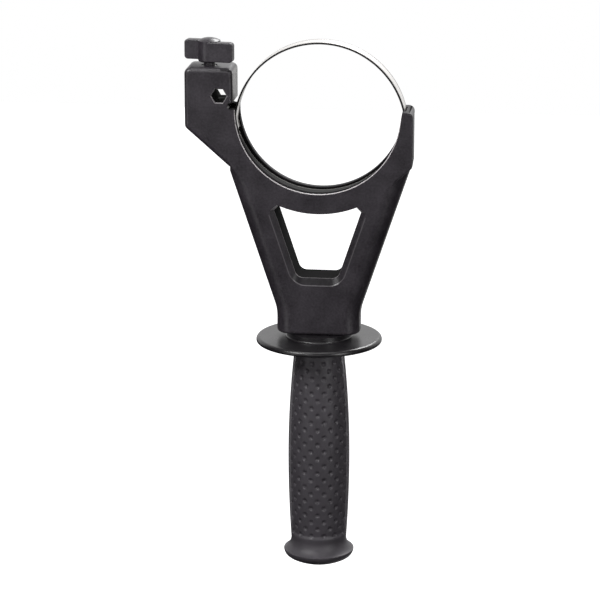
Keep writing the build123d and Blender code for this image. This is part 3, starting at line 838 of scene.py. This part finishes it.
def dimple_sunk(angle, z, radius):
    """How deep the nearest bowl of the staggered pattern is here."""
    turn = turn_from_panel(angle)
    deepest = 0.0
    column = round(turn / dimple_turn)
    row = round((dimple_first - z) / dimple_rise)
    for near_column in (column - 1, column, column + 1):
        for near_row in (row - 1, row, row + 1):
            if abs(near_column) > dimple_columns or not 0 <= near_row < dimple_rows:
                continue
            if (near_column + near_row) % 2 == 0:
                continue
            sideways = radius * radians(turn - near_column * dimple_turn)
            upward = z - (dimple_first - near_row * dimple_rise)
            bowl = 1 - (hypot(sideways, upward) / dimple_radius) ** 2
            if bowl > 0:
                deepest = max(deepest, dimple_depth * bowl * ease(rim_firmness * bowl))
    return deepest


def sleeve_radius(angle, z):
    radius = barrel_radius(z)
    return radius - panel_sunk(angle, z, radius) - dimple_sunk(angle, z, radius)


print("rows of dimples on a panel:", dimple_rows)

# %% [markdown]
# The mesh is a grid wrapped round the grip. It has a column every 1.333 degrees, a tenth of the
# way between two columns of dimples, and a row every tenth of the rise between two rows, so that
# every bowl is cut alike. The top is closed in to the core, under the guard, and the rows of the
# foot follow below the waist.

# %% The sleeve's rows
columns = 270
row_step = dimple_rise / 10
core_radius = 11.6 * mm
top_round = 0.5 * mm
turns = [column * 360.0 / columns for column in range(columns)]

rings = [([core_radius] * columns, sleeve_top)]
rings.append(([barrel_radius(sleeve_top) - top_round] * columns, sleeve_top))
z = sleeve_top - top_round
while z > waist_z + row_step / 2:
    rings.append(([sleeve_radius(turn, z) for turn in turns], z))
    z -= row_step
rings.append(([waist_radius] * columns, waist_z))
rings += [([radius] * columns, z) for radius, z in foot_rows]
print("rows of the sleeve:", len(rings))

# %% [markdown]
# Points and faces come straight from the rows. A last point in the middle of the dome closes the
# foot with a fan of triangles. The sleeve stands in for the rigid one, on the same body and in
# the same slot.

# %% Build the sleeve
sleeve_points = []
for radii, z in rings:
    for radius, turn in zip(radii, turns):
        sleeve_points.append((radius * sin(radians(turn)), -radius * cos(radians(turn)), z))
sleeve_faces = []
for ring in range(len(rings) - 1):
    low = ring * columns
    for column in range(columns):
        beside = (column + 1) % columns
        sleeve_faces.append((low + column, low + columns + column, low + columns + beside, low + beside))
tip = len(sleeve_points)
last = tip - columns
sleeve_points.append((0.0, 0.0, sleeve_foot))
sleeve_faces += [(last + column, tip, last + (column + 1) % columns) for column in range(columns)]
sleeve = mesh_piece("rubber_sleeve", sleeve_points, sleeve_faces, grip_rubber)
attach(sleeve, "frame")
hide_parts("grip_sleeve")

# %% [markdown]
# The band is one strip bent round several arcs. It starts at a hook in the left horn, goes over
# the top, dives into the right horn's groove, runs round below the seat as a second lap and ends
# in a loop on the slider's pin. A curve with a bevel could draw it, but then its width could not
# change where the tongue starts. So the path is a list of places, and a small section is carried
# along it. First come the arcs' sizes, the same as in the rigid model.

# %% The band's sizes
band_thickness = 1.0 * mm
band_width = 12.3 * mm
tongue_width = 7.4 * mm
hook_width = 18.4 * mm
hook_length = 3.6 * mm
hook_angle = 195.0
top_radius = 49.4 * mm
top_centre = (0.8 * mm, -10.4 * mm)
groove_radius = 49.2 * mm
blend_radius = 15.0 * mm
lap_radius = 50.6 * mm
lap_rise = lap_radius - groove_radius
pin_low, pin_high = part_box("band_pin")
pin = (pin_low + pin_high) / 2
loop_radius = (pin_high.x - pin_low.x) / 2 + 0.1 * mm + band_thickness / 2
print("the band's loop, radius in mm:", round(loop_radius / mm, 2))

# %% [markdown]
# Where the top arc meets the groove's arc, a smaller arc blends the two. Its centre lies at a
# known distance from both of their centres, so it is where two circles cross. The tail leaves the
# lap and meets the loop as a tangent of both, which gives the angle of its bend.

# %% Where the arcs meet
seat = (0.0, 0.0)


def blend_centre(side):
    """Centre of the bend between the top arc and the groove, on the side +1 or -1."""
    to_groove = groove_radius - blend_radius
    to_top = top_radius - blend_radius
    apart = hypot(*top_centre)
    along = (to_groove ** 2 - to_top ** 2 + apart ** 2) / (2 * apart)
    across = side * sqrt(to_groove ** 2 - along ** 2)
    x, z = top_centre[0] / apart, top_centre[1] / apart
    return (along * x - across * z, along * z + across * x)


def bend_at(point, centre):
    """The angle at which a point lies from a centre, between -90 and 270 degrees."""
    return (degrees(atan2(point[1] - centre[1], point[0] - centre[0])) + 90) % 360 - 90


left, right = blend_centre(-1), blend_centre(1)
pin_drop = lap_rise - pin.z
tail_bend = degrees(atan2(pin_drop, -pin.x) + acos((lap_radius + loop_radius) / hypot(pin.x, pin_drop)))
tail = radians(tail_bend)
tail_start = (-lap_radius * cos(tail), lap_rise - lap_radius * sin(tail))
tail_end = (pin.x + loop_radius * cos(tail), pin.z + loop_radius * sin(tail))
print("bends at", round(bend_at(right, seat), 1), round(bend_at(left, seat), 1), round(tail_bend, 1))

# %% [markdown]
# The path is now a chain: seven arcs and one straight tail before the last of them. Its places
# are about a millimetre apart, which is fine enough for a smooth reflection along the steel.

# %% The band's path
tail_steps = 12


def arc_places(centre, radius, start, end):
    """Places along an arc in the front view, about a millimetre apart."""
    count = max(2, ceil(abs(radians(end - start)) * radius / mm))
    bends = [radians(start + (end - start) * step / count) for step in range(count)]
    return [(centre[0] + radius * cos(bend), centre[1] + radius * sin(bend)) for bend in bends]


path = arc_places(seat, groove_radius, hook_angle, bend_at(left, seat))
path += arc_places(left, blend_radius, bend_at(left, seat), bend_at(left, top_centre))
path += arc_places(top_centre, top_radius, bend_at(left, top_centre), bend_at(right, top_centre))
path += arc_places(right, blend_radius, bend_at(right, top_centre), bend_at(right, seat))
path += arc_places(seat, groove_radius, bend_at(right, seat), -90)
path += arc_places((0.0, lap_rise), lap_radius, -90, tail_bend - 180)
for step in range(tail_steps):
    path.append(tuple(a + (b - a) * step / tail_steps for a, b in zip(tail_start, tail_end)))
path += arc_places((pin.x, pin.z), loop_radius, tail_bend, 270)
print("band path:", len(path), "places")

# %% [markdown]
# The strip is punched wider at its hooked end and narrower at the tongue that passes between the
# slider's ears. Its section is a flat rectangle with tiny rounded corners, as a slit strip has.
# A sharp corner would look cut from paper when one comes close.

# %% The strip's section
edge_round = 0.05 * mm
corner_steps = 4
tongue_taper = 4.0 * mm
tongue_length = 14.0 * mm

run = [0.0]
for before, after in zip(path, path[1:]):
    run.append(run[-1] + hypot(after[0] - before[0], after[1] - before[1]))
tongue_from = run[-1] - loop_radius * radians(270 - tail_bend) - tongue_length


def strip_width(along):
    """The strip's width at this length from its hooked end."""
    if along < hook_length:
        return hook_width
    return band_width + (tongue_width - band_width) * ease((along - tongue_from) / tongue_taper)


def section(width):
    """The strip's rounded section, across its width and through its thickness."""
    flat, side = width / 2 - edge_round, band_thickness / 2 - edge_round
    shape = []
    for quarter, (x, y) in enumerate([(flat, side), (-flat, side), (-flat, -side), (flat, -side)]):
        for step in range(corner_steps):
            bend = radians(90 * quarter + 90 * step / (corner_steps - 1))
            shape.append((x + edge_round * cos(bend), y + edge_round * sin(bend)))
    return shape


print("strip length, mm:", round(run[-1] / mm, 1))

# %% [markdown]
# The section is stood up at each place of the path, square to the path, and neighbours are joined
# by faces. Both ends are closed. A weighted normal modifier keeps the broad faces flat in their
# shading, so that the corners' tiny faces don't bend the reflection.

# %% Build the band
band_points = []
for index, (x, z) in enumerate(path):
    before = path[max(index - 1, 0)]
    after = path[min(index + 1, len(path) - 1)]
    along = Vector((after[0] - before[0], 0.0, after[1] - before[1])).normalized()
    for across, through in section(strip_width(run[index])):
        band_points.append((x + along.z * through, across, z - along.x * through))
ring = 4 * corner_steps
band_faces = []
for low in range(0, (len(path) - 1) * ring, ring):
    for corner in range(ring):
        beside = (corner + 1) % ring
        band_faces.append((low + corner, low + beside, low + ring + beside, low + ring + corner))
band_faces.append(tuple(range(ring - 1, -1, -1)))
band_faces.append(tuple(range(len(band_points) - ring, len(band_points))))
band = mesh_piece("steel_band", band_points, band_faces, band_steel)
band.modifiers.new("even_shine", "WEIGHTED_NORMAL").keep_sharp = True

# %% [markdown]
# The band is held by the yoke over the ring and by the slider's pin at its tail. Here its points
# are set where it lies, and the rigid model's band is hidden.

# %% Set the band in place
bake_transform(band)
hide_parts("clamp_band")

# %% [markdown]
